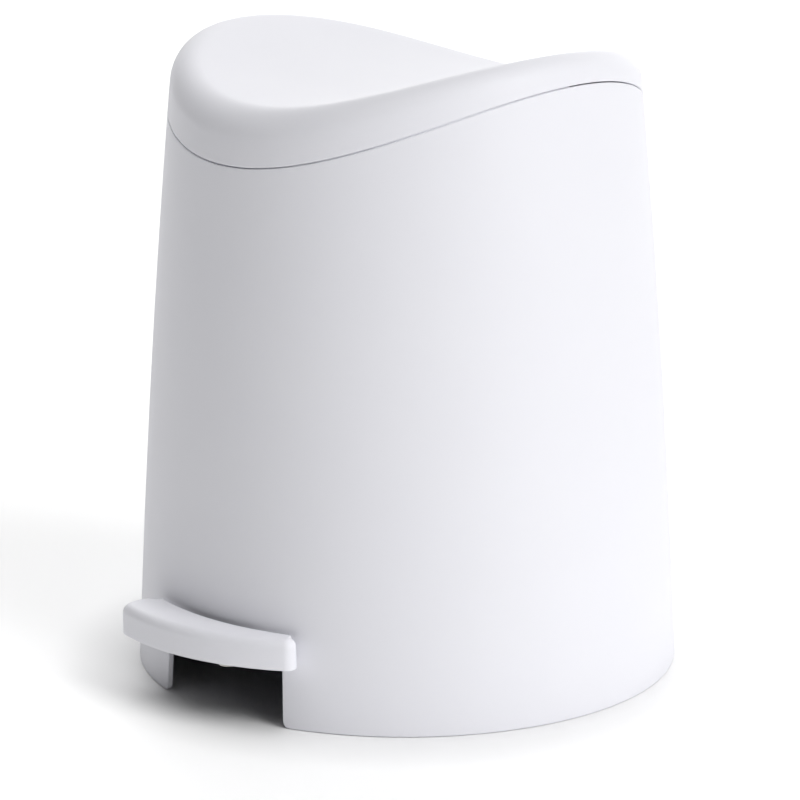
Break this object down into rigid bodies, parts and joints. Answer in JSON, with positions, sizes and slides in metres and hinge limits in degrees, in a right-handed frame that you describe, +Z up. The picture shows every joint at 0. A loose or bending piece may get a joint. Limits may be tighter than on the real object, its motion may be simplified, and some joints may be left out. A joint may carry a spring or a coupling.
{
  "type": "pedal trash can",
  "caption": "Small pedal bin with a tapered round body, a saddle-shaped hinged lid, an inner bucket and a crescent-shaped foot pedal that lifts the lid through a push rod.",
  "frame": {"origin": "on the floor, under the middle of the whole bin with its pedal", "axes": "+Z up, -Y to the front where the pedal is, +X to the right seen from the front"},
  "size_m": [0.19, 0.2035, 0.2203],
  "materials": {
    "white_body": "fine matte moulded polypropylene",
    "white_fitting": "plain moulded polypropylene",
    "dark_fitting": "plain moulded polypropylene, dark grey",
    "grey_bucket": "smooth moulded polypropylene",
    "grey_grip": "moulded polypropylene",
    "acetal_guide": "self-lubricating moulded acetal",
    "zinc_wire": "drawn wire, zinc plated",
    "steel_pin": "turned steel",
    "spring_steel": "blackened spring steel",
    "screw_steel": "zinc plated"
  },
  "bodies": {
    "root": {"outer_shell": "white_body", "base_plate": "dark_fitting", "base_screws": "screw_steel", "inner_bucket": "grey_bucket", "left_hinge_pin": "steel_pin", "right_hinge_pin": "steel_pin", "pivot_pin": "steel_pin", "pivot_clips": "spring_steel", "upper_rod_guide": "acetal_guide", "guide_screws": "screw_steel", "lower_rod_guide": "acetal_guide"},
    "lid": {"lid_cover": "white_body", "hinge_bracket": "white_fitting", "bracket_screws": "screw_steel"},
    "rod": {"push_rod": "zinc_wire", "upper_rod_clip": "spring_steel", "lower_rod_clip": "spring_steel"},
    "pedal": {"pedal_tread": "white_body", "pedal_lever": "dark_fitting", "tread_screws": "screw_steel"},
    "bail": {"bucket_bail": "zinc_wire", "bail_grip": "grey_grip"}
  },
  "joints": [
    {"name": "lid_hinge", "type": "hinge", "parent": "root", "child": "lid", "pos_m": [0, 0.09272, 0.1785], "axis": [-1, 0, 0], "range_deg": [0, 70]},
    {"name": "rod_slide", "type": "slide", "parent": "root", "child": "rod", "axis": [0, 0, 1], "range_m": [0, 0.01752]},
    {"name": "pedal_pivot", "type": "hinge", "parent": "root", "child": "pedal", "pos_m": [0, -0.01825, 0.0155], "axis": [1, 0, 0], "range_deg": [0, 10.22]},
    {"name": "bail_swing", "type": "hinge", "parent": "root", "child": "bail", "pos_m": [0, 0.00225, 0.17335], "axis": [-1, 0, 0], "range_deg": [0, 12]}
  ],
  "couplings": [
    {"joint": "rod_slide", "follows": "lid_hinge", "m_per_rad": 0.014328},
    {"joint": "pedal_pivot", "follows": "lid_hinge", "ratio": 0.14569}
  ]
}
